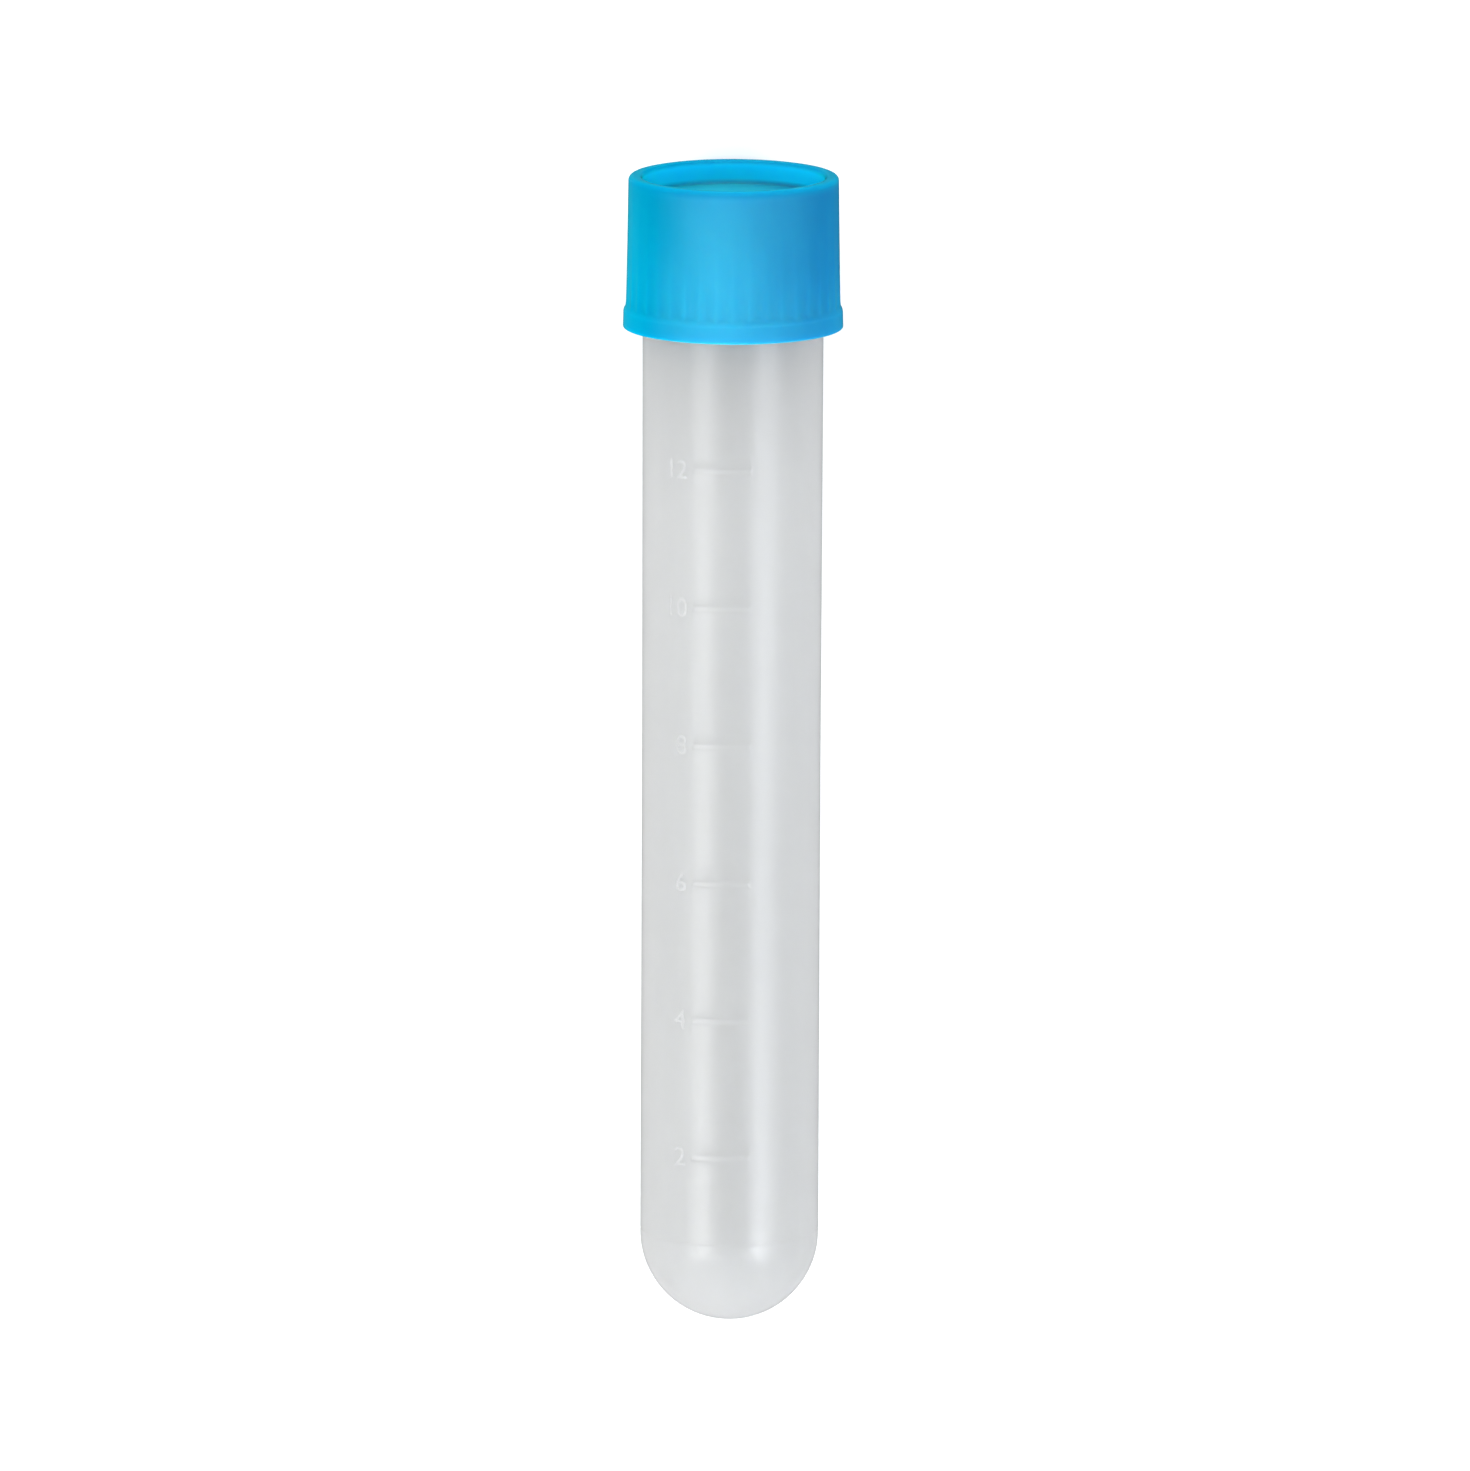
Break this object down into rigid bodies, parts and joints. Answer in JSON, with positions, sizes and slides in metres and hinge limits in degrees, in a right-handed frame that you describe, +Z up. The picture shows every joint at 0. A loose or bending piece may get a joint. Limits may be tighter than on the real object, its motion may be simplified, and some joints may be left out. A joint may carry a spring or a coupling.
{
  "type": "round-bottom screw-cap tube",
  "caption": "Round-bottom translucent plastic laboratory tube with raised volume lines and a ribbed blue screw cap with a sealing liner, lying on its side.",
  "frame": {"origin": "on the table under the middle of the lying tube, at the bottom centre of its box", "axes": "+Y along the tube towards the cap, which lies 1.3 degrees higher than the round bottom; +Z up through the graduated side; +X to the right of the scale read from above"},
  "size_m": [0.0198, 0.1044, 0.0197],
  "materials": {
    "tube": "translucent natural polypropylene, satin",
    "liner": "soft white elastomer, matte",
    "cap": "translucent light blue polyethylene, satin gloss"
  },
  "bodies": {
    "tube": {"tube": "tube"},
    "liner": {"sealing_liner": "liner"},
    "cap": {"screw_cap": "cap"}
  },
  "joints": [
    {"name": "cap_lift", "type": "slide", "parent": "tube", "child": "liner", "axis": [0, 0.9997, 0.0226], "range_m": [0, 0.012]},
    {"name": "cap_turn", "type": "hinge", "parent": "liner", "child": "cap", "pos_m": [0, 0.04774, 0.01008], "axis": [0, 0.9997, 0.0226], "range_deg": [0, 1440]}
  ],
  "couplings": [
    {"joint": "cap_lift", "follows": "cap_turn", "m_per_rad": 0.00047746}
  ]
}
